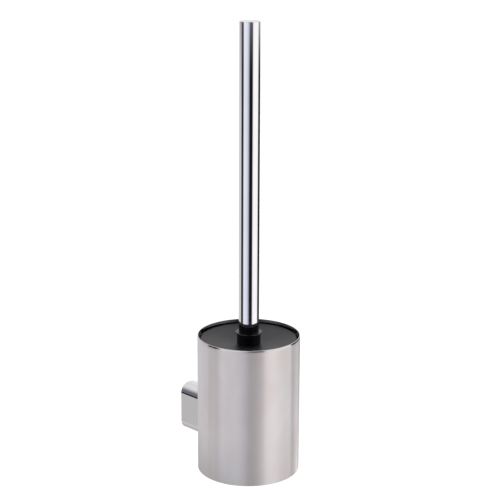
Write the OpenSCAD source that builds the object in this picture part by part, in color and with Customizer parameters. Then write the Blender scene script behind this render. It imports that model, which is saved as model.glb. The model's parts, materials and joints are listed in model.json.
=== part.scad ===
// Wall-mounted toilet brush holder: a round steel cup on a chrome bracket, with a
// lift-out liner and a brush whose lid closes the cup.
// Origin: centre of the bracket's back face, on the wall. +Z is up and +Y points into the wall.

/* [Cup] */
// Outside diameter of the cup
cup_d = 90.7; // [88:0.1:96]
// Height of the cup
cup_h = 125; // [115:1:150]
// Thickness of the cup's steel
cup_wall = 0.8; // [0.8:0.1:1.5]
// How far the cup's bottom is below the bracket's centre
cup_drop = 37.5; // [34:0.5:45]
// Height of the polished band round the rim
rim_band_h = 2.6; // [2:0.1:4]
// How far the rim curves inwards over that band
rim_turn_in = 0.25; // [0.2:0.05:0.5]

/* [Bracket] */
// Distance from the wall to the cup's axis
cup_offset = 79; // [77:1:100]
// Width of the bracket
bracket_w = 21; // [19:0.5:24]
// Height of the bracket
bracket_h = 45; // [42:1:50]
// Radius of the bracket's corners
bracket_r = 9; // [8:0.1:9.4]
// Thickness of the bracket casting
bracket_wall = 2; // [1.8:0.1:2.5]
// Distance between the two wall screws
wall_screw_pitch = 22; // [20:1:24]
// Diameter of the wall screw holes
wall_hole_d = 4.5; // [4:0.1:5]
// Distance between the two screws that hold the cup
cup_screw_pitch = 26; // [24:1:30]

/* [Liner] */
// Thickness of the liner
liner_wall = 1.8; // [1.5:0.1:2]
// How far the liner's flange lies below the rim
flange_drop = 5.8; // [5.5:0.1:7]
// Width of the gap between the liner's flange and the cup
flange_gap = 0.5; // [0.4:0.1:0.8]

/* [Lid and collar] */
// Radius of the lid
lid_r = 42.35; // [41.5:0.05:42.8]
// How far the lid's edge lies below the rim
lid_drop = 3.3; // [2.5:0.1:3.6]
// Depth of the lid's dish
lid_dish = 4.5; // [3:0.1:5]
// Radius of the collar's body
collar_r = 10.6; // [10:0.1:12]
// Radius of the collar's lip
lip_r = 11.9; // [11.5:0.1:13]
// Height of the collar's lip above the rim
lip_top = 2.9; // [2.5:0.1:5]
// Height of the collar's neck above its lip
neck_h = 6; // [2:0.5:8]

/* [Handle and brush] */
// Diameter of the handle
handle_d = 18; // [16.5:0.5:19]
// Height of the handle's top above the rim
handle_top = 275; // [200:0.5:320]
// Thickness of the handle's tube
handle_wall = 0.8; // [0.8:0.1:1]
// Diameter across the bristles
brush_d = 70; // [60:1:70]
// Height of the brush head's bristles
brush_h = 66; // [60:1:66]

/* [Hidden] */

$fn = 96;
eps = 0.01;

// Levels on the cup, measured from the bracket's centre
cup_r = cup_d / 2;
cup_in_r = cup_r - cup_wall;
rim_z = cup_h - cup_drop;
base_z = -cup_drop;
foot_r = 0.5;
rim_edge_r = 0.25;

// Bracket and its screws
plate_t = 1.5;
plate_w = 18;
plate_h = cup_screw_pitch + 16;
plate_in_r = cup_in_r - plate_t;
screw_r = 2;
screw_len = 12;
screw_head_r = 3.5;
screw_head_h = 2.2;
screw_hole_r = 2.2;
washer_t = 0.9;
thread_gap = 0.05;
web_y = -28.5;
boss_r = 4.5;
boss_y = -22;
seat_gap = 0.2;
wall_plate_t = 3;
tongue_t = 3;
tongue_len = 12;
tongue_w = 10;
tongue_y = -wall_plate_t - tongue_len / 2;
grub_r = 2;
grub_y = -9;

// Levels on the liner
floor_top = base_z + cup_wall;
liner_foot_h = 1.2;
liner_base = floor_top + liner_foot_h;
liner_floor = liner_base + liner_wall;
flange_z = rim_z - flange_drop;
flange_t = 1.6;
flange_r = cup_in_r - flange_gap;
liner_top_r = flange_r - 4;
liner_low_r = liner_top_r - 1;

// Levels on the lid, collar and handle
lid_z = rim_z - lid_drop;
dish_z = lid_z - lid_dish;
hub_z = dish_z - 3;
lid_seat_r = lip_r + 0.9;
lid_skirt_r = liner_top_r - liner_wall - 0.5;
lid_skirt_t = 1.5;
lid_skirt_z = lid_z - 10.7;
collar_floor = dish_z + 2;
lip_z = rim_z + lip_top;
neck_z = lip_z + neck_h;
handle_r = handle_d / 2;
bore_r = handle_r - handle_wall;
neck_r = handle_r - 0.1;
plug_r = neck_r - 1.2;
handle_z = rim_z + handle_top;
cap_h = 2;
press_gap = 0.05;
insert_h = 26;
stud_r = 3;
stud_hole_r = 3.2;
bush_r = 4.6;
bush_top = collar_floor + 14;
seal_t = 1;

// Levels on the brush
stem_z = hub_z - seal_t;
stem_end = stem_z - 35;
spigot_r = 5;
spigot_len = 13;
socket_gap = 0.25;
core_r = 8.5;
bristle_low = liner_floor + 2.3;
bristle_top = bristle_low + brush_h;
core_low = bristle_low + 8;
core_gap = 0.3;

// Points on an arc about [x, y], from angle a0 to a1
function arc(x, y, r, a0, a1, steps = 8) =
    [for (i = [0:steps]) let (a = a0 + (a1 - a0) * i / steps) [x + r * cos(a), y + r * sin(a)]];

module on_cup_axis() translate([0, -cup_offset, 0]) children();

// A solid turned about the cup's axis from an outline of [radius, height] points
module turned(outline) on_cup_axis() rotate_extrude() polygon(outline);

// A bar along Y between two distances from the wall, negative towards the cup
module along_y(y0, y1) translate([0, y1, 0]) rotate([90, 0, 0]) linear_extrude(y1 - y0) children();

module rounded_outline(w, h, r) {
    square([w, h - 2 * r], center = true);
    square([w - 2 * r, h], center = true);
    for (x = [-1, 1], y = [-1, 1])
        translate([x * (w / 2 - r), y * (h / 2 - r)]) circle(r);
}

module at_each(pitch) for (side = [-1, 1]) translate([0, 0, side * pitch / 2]) children();

// Half of the cup wall's section: straight, with a rounded foot and a band that curves in to the rim
module wall_section() {
    band_r = (rim_turn_in * rim_turn_in + rim_band_h * rim_band_h) / (2 * rim_turn_in);
    // the rim's rounding touches the band from inside
    edge_x = cup_r - band_r + sqrt(pow(band_r - rim_edge_r, 2) - pow(rim_band_h - rim_edge_r, 2));
    intersection() {
        translate([cup_in_r, base_z]) square([cup_wall, cup_h]);
        union() {
            translate([cup_r - foot_r, base_z + foot_r]) circle(foot_r);
            translate([cup_in_r, base_z]) square([cup_wall - foot_r, 2 * foot_r]);
            translate([cup_in_r, base_z + foot_r]) square([cup_wall, cup_h - rim_band_h - foot_r]);
            intersection() {
                translate([cup_r - band_r, rim_z - rim_band_h]) circle(band_r);
                translate([cup_in_r, base_z]) square([cup_wall, cup_h - rim_edge_r]);
            }
            translate([edge_x, rim_z - rim_edge_r]) circle(rim_edge_r);
            translate([cup_in_r, base_z]) square([edge_x - cup_in_r, cup_h]);
        }
    }
}

module cup_shell() color([0.68, 0.66, 0.66]) difference() {
    on_cup_axis() rotate_extrude() wall_section();
    at_each(cup_screw_pitch) along_y(-cup_offset + cup_in_r - 3, -cup_offset + cup_r + 1)
        circle(screw_hole_r);
}

module cup_floor() color([0.62, 0.61, 0.61])
    on_cup_axis() translate([0, 0, base_z]) cylinder(r = cup_in_r, h = cup_wall);

module clamp_plate() color([0.60, 0.60, 0.60]) difference() {
    intersection() {
        on_cup_axis() translate([0, 0, -plate_h / 2]) difference() {
            cylinder(r = cup_in_r, h = plate_h);
            translate([0, 0, -1]) cylinder(r = plate_in_r, h = plate_h + 2);
        }
        along_y(-cup_offset, 0) rounded_outline(plate_w, plate_h, 6);
    }
    at_each(cup_screw_pitch) along_y(-cup_offset, 0) circle(screw_hole_r);
    // flat seats for the washers
    at_each(cup_screw_pitch) along_y(-cup_offset, -cup_offset + plate_in_r) circle(screw_head_r + 0.7);
}

module cup_screws() color([0.70, 0.70, 0.70]) {
    seat_y = -cup_offset + plate_in_r - washer_t;
    at_each(cup_screw_pitch) difference() {
        union() {
            along_y(seat_y - screw_head_h, seat_y) circle(screw_head_r);
            along_y(seat_y - eps, seat_y + screw_len) circle(screw_r);
        }
        along_y(seat_y - screw_head_h - 1, seat_y - 0.8) circle(r = 1.7, $fn = 6);
    }
}

module lock_washers() color([0.55, 0.55, 0.56]) {
    seat_y = -cup_offset + plate_in_r;
    at_each(cup_screw_pitch) along_y(seat_y - washer_t, seat_y) difference() {
        circle(screw_head_r - 0.1);
        circle(screw_hole_r);
        translate([-0.4, 0]) square([0.8, screw_head_r + 1]);
    }
}

module bracket_post() color([0.72, 0.72, 0.74]) {
    inner_w = bracket_w - 2 * bracket_wall;
    inner_h = bracket_h - 2 * bracket_wall;
    difference() {
        along_y(-cup_offset + cup_r - 4, 0) rounded_outline(bracket_w, bracket_h, bracket_r);
        on_cup_axis() translate([0, 0, -bracket_h]) cylinder(r = cup_r, h = 2 * bracket_h);
        difference() {
            along_y(web_y, 1) rounded_outline(inner_w, inner_h, bracket_r - bracket_wall);
            at_each(cup_screw_pitch) along_y(web_y - 1, boss_y) circle(boss_r);
        }
        at_each(cup_screw_pitch) along_y(-cup_offset + cup_r - 5, boss_y + 1)
            circle(screw_r + thread_gap);
        translate([0, grub_y, -bracket_h / 2 - 1]) cylinder(r = grub_r + thread_gap, h = bracket_wall + 2);
    }
}

module wall_plate() color([0.66, 0.67, 0.68]) {
    inset = bracket_wall + seat_gap;
    w = bracket_w - 2 * inset;
    h = bracket_h - 2 * inset;
    difference() {
        union() {
            along_y(-wall_plate_t, 0) rounded_outline(w, h, bracket_r - inset);
            // tongues that the bracket slides over
            for (side = [-1, 1])
                translate([0, tongue_y, side * (h / 2 - tongue_t / 2)])
                    cube([tongue_w, tongue_len + 2 * eps, tongue_t], center = true);
        }
        // the tongues' corners follow the inside of the bracket
        difference() {
            along_y(-cup_offset, -wall_plate_t / 2) square([2 * w, 2 * h], center = true);
            along_y(-cup_offset - 1, 0) rounded_outline(w, h, bracket_r - inset);
        }
        at_each(wall_screw_pitch) along_y(-wall_plate_t - 1, 1) circle(wall_hole_d / 2);
        at_each(wall_screw_pitch) translate([0, -wall_plate_t - eps, 0]) rotate([-90, 0, 0])
            cylinder(r1 = wall_hole_d / 2 + 1.5, r2 = wall_hole_d / 2, h = 1.5);
        // the dimple that takes the grub screw's point
        translate([0, grub_y, -h / 2 - eps]) cylinder(r1 = grub_r, r2 = 0.7, h = 1.3);
    }
}

module grub_screw() color([0.55, 0.55, 0.56]) {
    low = -bracket_h / 2 + 0.3;
    body_h = bracket_wall - 0.3;
    translate([0, grub_y, low]) difference() {
        union() {
            cylinder(r = grub_r, h = body_h);
            translate([0, 0, body_h]) cylinder(r1 = grub_r - 0.15, r2 = 0.5, h = 1.3);
        }
        translate([0, 0, -1]) cylinder(r = 1.15, h = 2.4, $fn = 6);
    }
}

module liner() color([0.07, 0.07, 0.07]) {
    skirt_t = 1.2;
    skirt_h = 4;
    foot_out = 33;
    foot_in = 30;
    turned(concat(
        [[0, liner_floor], [0, liner_base], [foot_in, liner_base], [foot_in, floor_top],
         [foot_out, floor_top], [foot_out, liner_base]],
        arc(liner_low_r - 2, liner_base + 2, 2, -90, 0),
        [[liner_top_r, flange_z - flange_t], [flange_r - skirt_t, flange_z - flange_t],
         [flange_r - skirt_t, flange_z - skirt_h - flange_t], [flange_r, flange_z - skirt_h - flange_t]],
        arc(flange_r - 0.5, flange_z - 0.5, 0.5, 0, 90),
        [[liner_top_r - liner_wall, flange_z], [liner_low_r - liner_wall, liner_floor]]
    ));
}

module lid() color([0.11, 0.11, 0.12]) {
    slope = lid_dish / (lid_r - lid_seat_r);
    skirt_in = lid_skirt_r - lid_skirt_t;
    skirt_top = lid_z - slope * (lid_r - skirt_in) - 1.8;
    turned(concat(
        [[stud_hole_r, dish_z], [lid_seat_r, dish_z]],
        arc(lid_r - 0.5, lid_z - 0.5, 0.5, 90, 0, 5),
        [[lid_r, flange_z], [lid_skirt_r, flange_z], [lid_skirt_r, lid_skirt_z], [skirt_in, lid_skirt_z],
         [skirt_in, skirt_top], [lid_seat_r, dish_z - 1.8], [lid_seat_r - 2, hub_z], [stud_hole_r, hub_z]]
    ));
}

module seal_washer() color([0.10, 0.10, 0.10])
    turned([[stud_hole_r, stem_z], [9, stem_z], [9, hub_z], [stud_hole_r, hub_z]]);

module collar() color([0.05, 0.05, 0.05]) {
    chamfer_z = lip_z - 2;
    edge_r = 0.8;
    turned(concat(
        [[stud_hole_r, dish_z], [collar_r - 0.4, dish_z], [collar_r, dish_z + 0.4], [collar_r, chamfer_z],
         [lip_r, chamfer_z + 1]],
        arc(lip_r - edge_r, lip_z - edge_r, edge_r, 0, 90),
        [[neck_r, lip_z], [neck_r, neck_z], [plug_r + press_gap, neck_z],
         [plug_r + press_gap, collar_floor], [stud_hole_r, collar_floor]]
    ));
}

module handle_tube() color([0.78, 0.78, 0.80])
    on_cup_axis() translate([0, 0, neck_z]) difference() {
        cylinder(r = handle_r, h = handle_z - cap_h - neck_z);
        translate([0, 0, -1]) cylinder(r = bore_r, h = handle_z - neck_z);
    }

module handle_end_cap() color([0.78, 0.78, 0.80]) {
    edge_r = 0.5;
    skirt_r = bore_r - press_gap;
    skirt_z = handle_z - cap_h - 8;
    turned(concat(
        [[0, handle_z - cap_h], [skirt_r - 1.5, handle_z - cap_h], [skirt_r - 1.5, skirt_z],
         [skirt_r - 0.5, skirt_z], [skirt_r, skirt_z + 1], [skirt_r, handle_z - cap_h],
         [handle_r, handle_z - cap_h]],
        arc(handle_r - edge_r, handle_z - edge_r, edge_r, 0, 90),
        [[0, handle_z]]
    ));
}

module handle_insert() color([0.15, 0.15, 0.16])
    on_cup_axis() translate([0, 0, collar_floor]) difference() {
        union() {
            cylinder(r = plug_r, h = 22);
            translate([0, 0, neck_z - collar_floor]) cylinder(r = bore_r - press_gap, h = insert_h);
        }
        translate([0, 0, -1]) cylinder(r = bush_r + press_gap, h = 1 + bush_top - collar_floor);
        translate([0, 0, 1]) cylinder(r = stud_r + thread_gap, h = 18);
    }

module threaded_bush() color([0.78, 0.62, 0.30]) {
    groove = 0.4;
    mid = (collar_floor + bush_top) / 2;
    turned([
        [stud_r + thread_gap, collar_floor], [bush_r, collar_floor], [bush_r, mid - 1.5],
        [bush_r - groove, mid - 1], [bush_r - groove, mid + 1], [bush_r, mid + 1.5],
        [bush_r, bush_top], [stud_r + thread_gap, bush_top]
    ]);
}

module stem_stud() color([0.70, 0.70, 0.70]) {
    low = stem_z - 18;
    high = bush_top - 2;
    turned([
        [0, low], [stud_r - 0.5, low], [stud_r, low + 0.5],
        [stud_r, high - 0.5], [stud_r - 0.5, high], [0, high]
    ]);
}

module brush_stem() color([0.08, 0.08, 0.08]) {
    shoulder_r = 9;
    waist_r = 6.5;
    bore_z = stem_z - 19;
    turned([
        [stud_r + thread_gap, stem_z], [shoulder_r, stem_z], [shoulder_r, stem_z - 4],
        [waist_r, stem_z - 8], [waist_r, stem_end + 6], [core_r, stem_end + 3], [core_r, stem_end],
        [spigot_r, stem_end], [spigot_r, stem_end - spigot_len + 1],
        [spigot_r - 1, stem_end - spigot_len], [0, stem_end - spigot_len], [0, bore_z],
        [stud_r + thread_gap, bore_z]
    ]);
}

module head_core() color([0.08, 0.08, 0.08]) {
    socket_r = spigot_r + socket_gap;
    socket_z = stem_end - spigot_len - 1;
    turned(concat(
        [[socket_r, stem_end], [socket_r, socket_z], [0, socket_z], [0, core_low]],
        arc(0, core_low + core_r, core_r, -90, 0),
        [[core_r, stem_end]]
    ));
}

module bristles() color([0.12, 0.12, 0.12]) {
    brush_r = brush_d / 2;
    edge = 12;
    hole_r = core_r + core_gap;
    turned(concat(
        [[0, bristle_low]],
        arc(brush_r - edge, bristle_low + edge, edge, -90, 0),
        arc(brush_r - edge, bristle_top - edge, edge, 0, 90),
        [[hole_r, bristle_top]],
        arc(0, core_low + core_r, hole_r, 0, -90)
    ));
}

cup_shell();
cup_floor();
clamp_plate();
cup_screws();
lock_washers();
bracket_post();
wall_plate();
grub_screw();
liner();
lid();
seal_washer();
collar();
handle_tube();
handle_end_cap();
handle_insert();
threaded_bush();
stem_stud();
brush_stem();
head_core();
bristles();
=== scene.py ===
"""The looks of a wall-mounted toilet brush holder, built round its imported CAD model."""
import json
import math
import random

import bmesh
import bpy
from mathutils import Matrix, Vector


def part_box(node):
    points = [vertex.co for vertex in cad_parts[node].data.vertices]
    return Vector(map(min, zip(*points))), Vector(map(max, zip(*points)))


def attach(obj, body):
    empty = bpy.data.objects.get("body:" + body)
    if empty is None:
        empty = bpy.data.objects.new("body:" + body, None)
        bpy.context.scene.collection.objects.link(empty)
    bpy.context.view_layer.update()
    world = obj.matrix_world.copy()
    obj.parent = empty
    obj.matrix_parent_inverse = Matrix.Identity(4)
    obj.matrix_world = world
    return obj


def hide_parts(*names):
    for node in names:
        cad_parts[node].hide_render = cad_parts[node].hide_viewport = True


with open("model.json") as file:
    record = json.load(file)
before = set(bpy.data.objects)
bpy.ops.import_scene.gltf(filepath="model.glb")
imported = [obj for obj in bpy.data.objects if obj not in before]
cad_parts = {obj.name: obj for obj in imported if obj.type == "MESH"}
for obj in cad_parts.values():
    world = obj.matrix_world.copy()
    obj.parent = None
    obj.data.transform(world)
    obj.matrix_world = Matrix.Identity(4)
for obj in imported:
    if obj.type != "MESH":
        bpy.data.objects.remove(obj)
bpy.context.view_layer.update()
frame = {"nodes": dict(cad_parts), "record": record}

MM = 0.001
NODES = frame["nodes"]

# Levels and centres, from the CAD nodes
CUP_LOW, CUP_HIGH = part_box("cup_shell")
AXIS = Vector(((CUP_LOW.x + CUP_HIGH.x) / 2, (CUP_LOW.y + CUP_HIGH.y) / 2, 0.0))
RIM_Z = CUP_HIGH.z
CUP_R = (CUP_HIGH.x - CUP_LOW.x) / 2

# The steel's finish: how far the polished band goes down from the rim, how far in from the outer
# radius the inside begins, and how high and how deep the painted shade at the foot is
POLISHED_H = 1.4 * MM
POLISHED_ROUGHNESS = 0.03
POLISHED_SHADE = 0.82
INSIDE_DEPTH = 0.7 * MM
FOOT_FADE = 45 * MM
PAINTED_FOOT_SHADE = 0.17

# Camera: a long lens, from the left of the room and a little above
CAMERA_AZIMUTH = math.radians(-44.0)
CAMERA_AWAY = 1245.3 * MM
CAMERA_ABOVE_RIM = 418.9 * MM
CAMERA_PITCH = math.radians(15.35)
CAMERA_YAW = math.radians(0.037)
CAMERA_ROLL = math.radians(0.227)
CAMERA_LENS = 107.14


def make_camera():
    data = bpy.data.cameras.new("camera")
    data.lens = CAMERA_LENS
    data.sensor_width = 36.0
    data.clip_start = 0.05
    data.clip_end = 100.0
    cam = bpy.data.objects.new("camera", data)
    bpy.context.scene.collection.objects.link(cam)
    towards = Vector((math.sin(CAMERA_AZIMUTH), -math.cos(CAMERA_AZIMUTH), 0.0))
    place = AXIS + towards * CAMERA_AWAY + Vector((0.0, 0.0, RIM_Z + CAMERA_ABOVE_RIM))
    level = Matrix.Rotation(-CAMERA_YAW, 3, "Z") @ -towards
    forward = level * math.cos(CAMERA_PITCH) - Vector((0.0, 0.0, math.sin(CAMERA_PITCH)))
    right = forward.cross(Vector((0.0, 0.0, 1.0))).normalized()
    up = right.cross(forward)
    turn = Matrix.Rotation(-CAMERA_ROLL, 3, forward)
    axes = Matrix((turn @ right, turn @ up, -forward)).transposed()
    cam.matrix_world = Matrix.Translation(place) @ axes.to_4x4()
    bpy.context.scene.camera = cam


class Nodes:
    """A node tree with short names for what every material here needs."""

    def __init__(self, tree):
        self.tree = tree

    def add(self, kind, **settings):
        node = self.tree.nodes.new(kind)
        for name, value in settings.items():
            setattr(node, name, value)
        return node

    def link(self, source, target):
        self.tree.links.new(source, target)

    def put(self, socket, value):
        if isinstance(value, bpy.types.NodeSocket):
            self.link(value, socket)
        else:
            socket.default_value = value

    def math(self, operation, *values):
        node = self.add("ShaderNodeMath", operation=operation)
        for socket, value in zip(node.inputs, values):
            self.put(socket, value)
        return node.outputs[0]

    def parts(self, vector):
        node = self.add("ShaderNodeSeparateXYZ")
        self.link(vector, node.inputs[0])
        return node.outputs

    def ramp(self, factor, stops):
        node = self.add("ShaderNodeValToRGB")
        ramp = node.color_ramp
        while len(ramp.elements) > 1:
            ramp.elements.remove(ramp.elements[-1])
        ramp.elements[0].position = stops[0][0]
        ramp.elements[0].color = colour(stops[0][1])
        for position, value in stops[1:]:
            ramp.elements.new(position).color = colour(value)
        self.link(factor, node.inputs["Fac"])
        return node.outputs["Color"]

    def between(self, factor, low, high, start=0.0):
        """A number that goes from low to high as factor goes from start to 1."""
        node = self.add("ShaderNodeMapRange")
        self.link(factor, node.inputs["Value"])
        node.inputs["From Min"].default_value = start
        node.inputs["To Min"].default_value = low
        node.inputs["To Max"].default_value = high
        return node.outputs["Result"]

    def times(self, tint, factor):
        """A colour made darker or lighter by a number."""
        node = self.add("ShaderNodeVectorMath", operation="SCALE")
        self.link(tint, node.inputs[0])
        self.put(node.inputs["Scale"], factor)
        return node.outputs[0]

    def noise(self, place, scale, detail=3.0, stretch=(1.0, 1.0, 1.0)):
        mapping = self.add("ShaderNodeMapping")
        mapping.inputs["Scale"].default_value = stretch
        self.link(place, mapping.inputs["Vector"])
        node = self.add("ShaderNodeTexNoise")
        node.inputs["Scale"].default_value = scale
        node.inputs["Detail"].default_value = detail
        self.link(mapping.outputs["Vector"], node.inputs["Vector"])
        return node.outputs["Fac"]

    def bump(self, height, distance):
        node = self.add("ShaderNodeBump")
        node.inputs["Distance"].default_value = distance
        self.link(height, node.inputs["Height"])
        return node.outputs["Normal"]


def colour(value):
    if isinstance(value, (int, float)):
        return (value, value, value, 1.0)
    return (*value[:3], 1.0)


def new_material(name):
    material = bpy.data.materials.new(name)
    material.use_nodes = True
    tree = material.node_tree
    tree.nodes.clear()
    n = Nodes(tree)
    shader = n.add("ShaderNodeBsdfPrincipled")
    out = n.add("ShaderNodeOutputMaterial")
    n.link(shader.outputs["BSDF"], out.inputs["Surface"])
    place = n.add("ShaderNodeTexCoord").outputs["Object"]
    return material, n, shader, place


def chrome():
    """Polished chrome with the faint haze of handling, and shade painted into its colour where it faces
    down.
    """
    material, n, shader, place = new_material("chrome")
    haze = n.noise(place, 45.0, 4.0)
    tint = n.ramp(haze, [(0.3, (0.93, 0.93, 0.945)), (0.7, (0.90, 0.90, 0.915))])
    # painted shade: the base colour darkens where the surface faces down and stays full where it faces
    # up
    normal = n.add("ShaderNodeNewGeometry").outputs["Normal"]
    upward = n.between(n.parts(normal)[2], 0.0, 1.0, start=-1.0)
    shade = n.ramp(upward, [(0.0, 0.22), (0.47, 0.40), (0.495, 1.0)])
    shader.inputs["Metallic"].default_value = 1.0
    n.put(shader.inputs["Base Color"], n.times(tint, shade))
    n.put(shader.inputs["Roughness"], n.between(haze, 0.02, 0.06))
    return material


def brushed_steel():
    """Satin steel brushed round the cup, with a polished band at the rim and a polished inside."""
    material, n, shader, place = new_material("brushed_steel")
    x, y, z = n.parts(place)
    behind = n.math("SUBTRACT", y, AXIS.y)
    squares = n.math("ADD", n.math("MULTIPLY", x, x), n.math("MULTIPLY", behind, behind))
    inside = n.math("LESS_THAN", n.math("SQRT", squares), CUP_R - INSIDE_DEPTH)
    polished = n.math("MAXIMUM", n.math("GREATER_THAN", z, RIM_Z - POLISHED_H), inside)
    streaks = n.noise(place, 1.0, 4.0, (90.0, 90.0, 9000.0))
    patches = n.noise(place, 28.0, 3.0, (1.0, 1.0, 0.6))
    tint = n.ramp(patches, [(0.30, (0.80, 0.75, 0.74)), (0.70, (0.89, 0.87, 0.885))])
    # painted shade darkens the colour towards the foot, most of all on the cup's left, and the polished
    # parts are a little darker than the satin
    near_foot = n.math("SUBTRACT", 1.0, n.math("DIVIDE", n.math("SUBTRACT", z, CUP_LOW.z), FOOT_FADE))
    to_right = n.math("DIVIDE", n.math("SUBTRACT", x, behind), CUP_R * math.sqrt(2))
    leftness = n.math("MULTIPLY_ADD", to_right, -PAINTED_FOOT_SHADE, PAINTED_FOOT_SHADE)
    painted_foot_shade = n.math("MULTIPLY", n.math("MAXIMUM", near_foot, 0.0), leftness)
    lit = n.math("SUBTRACT", 1.0, painted_foot_shade)
    shade = n.math("MULTIPLY", lit, n.between(polished, 1.0, POLISHED_SHADE))
    shader.inputs["Metallic"].default_value = 1.0
    n.put(shader.inputs["Base Color"], n.times(tint, shade))
    satin = n.math("MULTIPLY", n.math("SUBTRACT", 1.0, polished), n.between(streaks, 0.27, 0.37))
    n.put(shader.inputs["Roughness"], n.math("MAXIMUM", satin, POLISHED_ROUGHNESS))
    shader.inputs["Anisotropic"].default_value = 1.0
    shader.inputs["Anisotropic Rotation"].default_value = 0.25
    tangent = n.add("ShaderNodeTangent", direction_type="RADIAL", axis="Z")
    n.link(tangent.outputs[0], shader.inputs["Tangent"])
    return material


def moulded_plastic(name, base, roughness, grain_size, grain_depth):
    """Moulded black plastic with a fine grain and a slightly cool shine."""
    material, n, shader, place = new_material(name)
    grain = n.noise(place, 1.0 / grain_size, 2.0)
    drift = n.noise(place, 40.0, 2.0)
    shades = [(0.3, [c * 0.9 for c in base]), (0.7, [c * 1.1 for c in base])]
    n.put(shader.inputs["Base Color"], n.ramp(drift, shades))
    n.put(shader.inputs["Roughness"], n.between(drift, roughness - 0.04, roughness + 0.04))
    n.link(n.bump(grain, grain_depth), shader.inputs["Normal"])
    shader.inputs["Specular Tint"].default_value = (0.88, 0.88, 1.0, 1.0)
    return material


def plain_metal(name, base, roughness):
    """Turned or plated steel, with fine tool marks."""
    material, n, shader, place = new_material(name)
    marks = n.noise(place, 900.0, 3.0)
    shader.inputs["Metallic"].default_value = 1.0
    shades = [(0.3, [c * 0.92 for c in base]), (0.7, base)]
    n.put(shader.inputs["Base Color"], n.ramp(marks, shades))
    n.put(shader.inputs["Roughness"], n.between(marks, roughness - 0.07, roughness + 0.07))
    n.link(n.bump(marks, 0.01 * MM), shader.inputs["Normal"])
    return material


MATERIALS = {
    "chrome": chrome(),
    "brushed_steel": brushed_steel(),
    "black_plastic": moulded_plastic("black_plastic", (0.010, 0.010, 0.012), 0.42, 0.35 * MM, 0.02 * MM),
    "black_gloss": moulded_plastic("black_gloss", (0.004, 0.004, 0.005), 0.12, 0.5 * MM, 0.001 * MM),
    "liner_plastic": moulded_plastic("liner_plastic", (0.009, 0.009, 0.009), 0.5, 0.4 * MM, 0.02 * MM),
    "rubber": moulded_plastic("rubber", (0.014, 0.014, 0.014), 0.7, 0.3 * MM, 0.02 * MM),
    "bristle": moulded_plastic("bristle", (0.012, 0.012, 0.013), 0.35, 0.5 * MM, 0.004 * MM),
    "zinc_steel": plain_metal("zinc_steel", (0.62, 0.64, 0.66), 0.38),
    "screw_steel": plain_metal("screw_steel", (0.72, 0.72, 0.72), 0.25),
    "brass": plain_metal("brass", (0.80, 0.58, 0.25), 0.25),
}


def dress_cad_nodes():
    for part in frame["record"]["subparts"]:
        obj = NODES[part["node"]]
        material = MATERIALS[part["material_slot"]]
        if not obj.material_slots:
            obj.data.materials.append(material)
        for slot in obj.material_slots:
            slot.material = material


# The brush head's bristles: tufts of filaments set in rows round the core
CORE_LOW, CORE_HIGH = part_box("head_core")
BRISTLE_LOW, BRISTLE_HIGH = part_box("bristles")
CORE_R = (CORE_HIGH.x - CORE_LOW.x) / 2
BRUSH_R = (BRISTLE_HIGH.x - BRISTLE_LOW.x) / 2
ROW_PITCH = 3.5 * MM
TUFTS_IN_ROW = 14
TUFT_R = 1.3 * MM
TUFT_SPREAD = 4.6 * MM
FILAMENTS = 18
FILAMENT_R = 0.24 * MM
FILAMENT_SIDES = 5
# How far a filament starts inside the core, how unevenly it is trimmed, and how far it bows
ROOT_DEPTH = 0.8 * MM
TRIM_LEAST, TRIM_MOST = 0.2, 1.4
BOW = 0.5
# The rows lean away from the brush's middle, by half of this at each end
ROW_LEAN = math.radians(6.0)
TOP_GAP = 2 * MM
# The rows round the core's end: degrees below level, then tufts
END_ROWS = ((25, 13), (50, 9), (74, 4))
BRUSH_ROUNDING = 12 * MM


def brush_reach(root, direction):
    """How far a filament goes from its root to the brush's outline, a cylinder with rounded ends."""
    def outside(point):
        across = math.hypot(point.x - AXIS.x, point.y - AXIS.y)
        low = BRISTLE_LOW.z + BRUSH_ROUNDING - point.z
        high = point.z - (BRISTLE_HIGH.z - BRUSH_ROUNDING)
        beyond = max(low, high, 0.0)
        past = max(across - (BRUSH_R - BRUSH_ROUNDING), 0.0)
        return math.hypot(beyond, past) > BRUSH_ROUNDING
    near, far = 0.0, 2 * BRUSH_R
    while far - near > 0.01 * MM:
        middle = (near + far) / 2
        if outside(root + direction * middle):
            far = middle
        else:
            near = middle
    return near


def tuft_roots():
    """Where each tuft leaves the core, and in which direction."""
    dome = Vector((AXIS.x, AXIS.y, CORE_LOW.z + CORE_R))
    rows = int((BRISTLE_HIGH.z - TOP_GAP - dome.z) / ROW_PITCH)
    for row in range(rows + 1):
        lean = ROW_LEAN * (row / rows - 0.5)
        for step in range(TUFTS_IN_ROW):
            turn = 2 * math.pi * (step + row % 2 / 2) / TUFTS_IN_ROW
            out = Vector((math.cos(turn), math.sin(turn), math.tan(lean)))
            root = Vector((math.cos(turn) * CORE_R, math.sin(turn) * CORE_R, row * ROW_PITCH))
            yield dome + root, out.normalized()
    for down, count in END_ROWS:
        slope = math.radians(down)
        for step in range(count):
            turn = 2 * math.pi * (step + down % 2 / 2) / count
            across = Vector((math.cos(turn), math.sin(turn), 0.0)) * math.cos(slope)
            out = across - Vector((0.0, 0.0, math.sin(slope)))
            yield dome + out * CORE_R, out


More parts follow.
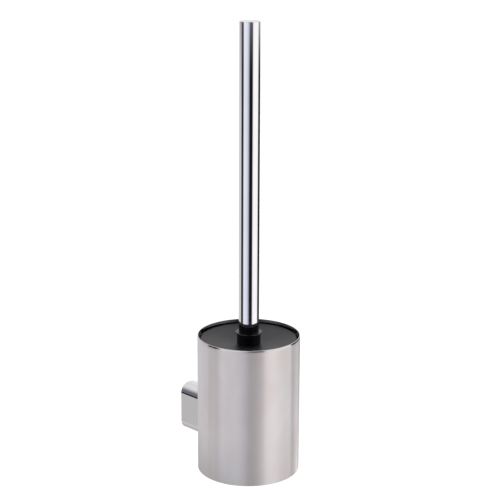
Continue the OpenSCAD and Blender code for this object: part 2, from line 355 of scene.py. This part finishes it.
def filament(bm, root, tip, bow):
    """A thin tapering rod from root to tip, bowed a little sideways."""
    along = (tip - root).normalized()
    side = along.orthogonal().normalized()
    other = along.cross(side)
    angles = [2 * math.pi * i / FILAMENT_SIDES for i in range(FILAMENT_SIDES)]
    rings = []
    for share, radius in ((0.0, 1.0), (0.45, 1.0), (0.8, 0.95), (1.0, 0.7)):
        centre = root.lerp(tip, share) + bow * math.sin(math.pi * share)
        offsets = [(side * math.cos(a) + other * math.sin(a)) * (FILAMENT_R * radius) for a in angles]
        rings.append([bm.verts.new(centre + offset) for offset in offsets])
    for low, high in zip(rings, rings[1:]):
        for i in range(FILAMENT_SIDES):
            j = (i + 1) % FILAMENT_SIDES
            bm.faces.new((low[i], low[j], high[j], high[i])).smooth = True
    bm.faces.new(rings[0][::-1])
    bm.faces.new(rings[-1])


def make_bristles():
    """The tufts as one mesh, which stands in for the CAD's plain solid."""
    rng = random.Random(7)
    bm = bmesh.new()
    for root, out in tuft_roots():
        side = out.orthogonal().normalized()
        other = out.cross(side)
        for i in range(FILAMENTS):
            # filaments fill the tuft evenly, in a sunflower pattern, and fan out towards the tip
            away = math.sqrt((i + 0.5) / FILAMENTS)
            turn = i * math.radians(137.5) + rng.uniform(-0.3, 0.3)
            aside = (side * math.cos(turn) + other * math.sin(turn)) * away
            start = root - out * ROOT_DEPTH + aside * TUFT_R
            reach = BRUSH_R - CORE_R
            lean = (out * reach + aside * (TUFT_SPREAD * rng.uniform(0.75, 1.2))).normalized()
            length = brush_reach(start, lean) - rng.uniform(TRIM_LEAST, TRIM_MOST) * MM
            bow = other * rng.uniform(-BOW, BOW) * MM + side * rng.uniform(-BOW, BOW) * MM
            filament(bm, start, start + lean * length, bow)
    mesh = bpy.data.meshes.new("bristle_tufts")
    bm.to_mesh(mesh)
    bm.free()
    mesh.materials.append(MATERIALS["bristle"])
    tufts = bpy.data.objects.new("bristle_tufts", mesh)
    bpy.context.scene.collection.objects.link(tufts)
    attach(tufts, "head")
    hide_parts("bristles")


# Studio. The world is a stack of rings round the object, seen in its polished parts. In a ring, each
# stop is degrees to the right of the camera, as seen from the object, then the light there.
# The light from below, which sets most of the satin steel's tone
LOW_GROUND = [
    (-180, 1.1), (-118, 1.25), (-100, 1.65), (-86, 1.40), (-77, 0.75), (-71, 0.38), (-50, 0.60),
    (-33, 0.78), (-19, 0.85), (0, 0.80), (16, 0.95), (26, 1.10), (33, 1.45), (41, 1.25), (48, 1.10),
    (70, 0.98), (98, 0.50), (110, 0.48), (124, 0.80), (140, 1.3), (158, 3.5), (180, 1.1),
]
# The ground further out, up to the foot of the panels
GROUND = [
    (-180, 0.68), (-100, 0.52), (-84, 0.50), (-66, 0.56), (0, 0.60), (30, 0.64), (40, 0.58),
    (104, 0.60), (124, 0.7), (150, 1.2), (180, 0.68),
]
# Light panels, and the black flags between them that draw the stripes on the tube
PANELS = [
    (-180, (0.66, 0.66, 0.70)), (-104, (0.66, 0.66, 0.69)), (-96, 0.02), (-73, 0.03),
    (-66, (0.52, 0.53, 0.58)), (-60, (0.90, 0.91, 1.0)), (-46, (0.80, 0.81, 0.90)),
    (-33, (0.77, 0.79, 0.89)), (-21, (0.64, 0.66, 0.79)), (-10, (0.42, 0.43, 0.55)),
    (-3, (0.20, 0.21, 0.28)), (1, 0.012), (30, 0.006), (36, 0.48), (41, 0.98), (60, 1.05),
    (98, 1.03), (106, 0.80), (110, 0.012), (152, 0.015), (162, 0.45), (180, 0.50),
]
# The panels' upper part, which the cup's polished band sees
PANEL_HEADS = [
    (-180, 0.80), (-93, 0.80), (-88, 0.04), (-75, 0.04), (-70, (0.82, 0.84, 0.92)),
    (-60, (0.97, 0.98, 1.08)), (-20, (0.97, 0.98, 1.08)), (0, (0.72, 0.74, 0.84)),
    (8, (0.34, 0.35, 0.42)), (28, (0.34, 0.35, 0.42)), (38, 1.0), (100, 1.0), (180, 0.80),
]
CEILING = [
    (-180, 0.85), (-130, 0.60), (-112, (0.30, 0.30, 0.35)), (-92, (0.15, 0.15, 0.18)), (-72, 0.20),
    (-60, 0.60), (-25, 0.30), (0, 0.06), (32, 0.08), (50, 0.80), (108, 0.75), (118, 0.60),
    (140, 0.8), (180, 0.85),
]
SKY = [(-180, 0.72), (-60, 0.85), (-25, 0.25), (0, 0.10), (32, 0.12), (60, 0.85), (180, 0.72)]
# How high the panels reach, in degrees above the horizon, round the same ring
PANEL_TOPS = [
    (-180, -8), (-104, -8), (-90, -7), (-84, -2), (-73, 0), (-66, 8), (-50, 8), (50, 8), (106, 6),
    (112, -5), (180, -8),
]
# Where one ring gives way to the next, in degrees above the horizon, and over how many degrees
GROUND_EDGE, GROUND_BLUR = -26.0, 8.0
PANEL_EDGE, PANEL_BLUR = -18.55, 0.2
HEADS_EDGE, HEADS_BLUR = -5.8, 6.0
CEILING_BLUR = 5.0
SKY_EDGE, SKY_BLUR = 28.0, 40.0

FLOOR_R = 40.0
FLOOR_BELOW_CUP = 0.25


def warm(value):
    """Plain levels of light are a little warm. A full colour stays as it is."""
    return (value, value * 0.97, value * 0.965) if isinstance(value, (int, float)) else value


def make_world():
    """White paper behind the object, and the studio in its reflections and on its surfaces."""
    world = bpy.data.worlds.new("studio")
    world.use_nodes = True
    tree = world.node_tree
    tree.nodes.clear()
    n = Nodes(tree)
    x, y, z = n.parts(n.add("ShaderNodeTexCoord").outputs["Generated"])
    # angle to the right of the camera, so that the camera's own azimuth is 0
    bearing = n.math("ARCTAN2", x, n.math("MULTIPLY", y, -1.0))
    wrapped = n.math("WRAP", n.math("SUBTRACT", bearing, CAMERA_AZIMUTH), math.pi, -math.pi)
    around = n.math("DIVIDE", n.math("ADD", wrapped, math.pi), 2 * math.pi)
    height = n.math("DEGREES", n.math("ARCSINE", z))

    def ring(stops):
        return n.ramp(around, [((degrees + 180) / 360, warm(value)) for degrees, value in stops])

    def rise(start, blur):
        """0 below start, 1 above it, with a soft edge."""
        ease = n.add("ShaderNodeMapRange", interpolation_type="SMOOTHSTEP")
        n.put(ease.inputs["Value"], n.math("SUBTRACT", height, start))
        ease.inputs["From Min"].default_value = -blur / 2
        ease.inputs["From Max"].default_value = blur / 2
        return ease.outputs["Result"]

    def blend(factor, low, high):
        mix = n.add("ShaderNodeMix", data_type="RGBA")
        for socket, value in zip(("Factor", "A", "B"), (factor, low, high)):
            n.put(mix.inputs[socket], value)
        return mix.outputs["Result"]

    # a ramp holds 0 to 1, so the tops go through it as shares of the half turn from below to above
    tops = n.ramp(around, [((degrees + 180) / 360, (top + 90) / 180) for degrees, top in PANEL_TOPS])
    panel_top = n.math("SUBTRACT", n.math("MULTIPLY", tops, 180.0), 90.0)
    light = ring(LOW_GROUND)
    for edge, blur, stops in (
        (GROUND_EDGE, GROUND_BLUR, GROUND),
        (PANEL_EDGE, PANEL_BLUR, PANELS),
        (HEADS_EDGE, HEADS_BLUR, PANEL_HEADS),
        (panel_top, CEILING_BLUR, CEILING),
        (SKY_EDGE, SKY_BLUR, SKY),
    ):
        light = blend(rise(edge, blur), light, ring(stops))
    studio = n.add("ShaderNodeBackground")
    n.link(light, studio.inputs["Color"])
    paper = n.add("ShaderNodeBackground")
    paper.inputs["Color"].default_value = (1.0, 1.0, 1.0, 1.0)
    mix = n.add("ShaderNodeMixShader")
    n.link(n.add("ShaderNodeLightPath").outputs["Is Camera Ray"], mix.inputs["Fac"])
    n.link(studio.outputs[0], mix.inputs[1])
    n.link(paper.outputs[0], mix.inputs[2])
    out = n.add("ShaderNodeOutputWorld")
    n.link(mix.outputs[0], out.inputs["Surface"])
    bpy.context.scene.world = world


def make_floor():
    """A pale floor, well below the holder as it hangs on its wall."""
    bm = bmesh.new()
    bmesh.ops.create_circle(bm, cap_ends=True, segments=96, radius=FLOOR_R)
    mesh = bpy.data.meshes.new("floor")
    bm.to_mesh(mesh)
    bm.free()
    floor = bpy.data.objects.new("floor", mesh)
    floor.location = (AXIS.x, AXIS.y, CUP_LOW.z - FLOOR_BELOW_CUP)
    material, n, shader, place = new_material("floor")
    grain = n.noise(place, 3.0, 2.0)
    n.put(shader.inputs["Base Color"], n.ramp(grain, [(0.3, 0.88), (0.7, 0.90)]))
    shader.inputs["Roughness"].default_value = 0.8
    shader.inputs["Emission Color"].default_value = (1.0, 1.0, 1.0, 1.0)
    shader.inputs["Emission Strength"].default_value = 0.6
    mesh.materials.append(material)
    bpy.context.scene.collection.objects.link(floor)
    floor.visible_glossy = False


make_camera()
make_world()
make_floor()
dress_cad_nodes()
make_bristles()
bpy.context.scene.view_settings.view_transform = "Standard"
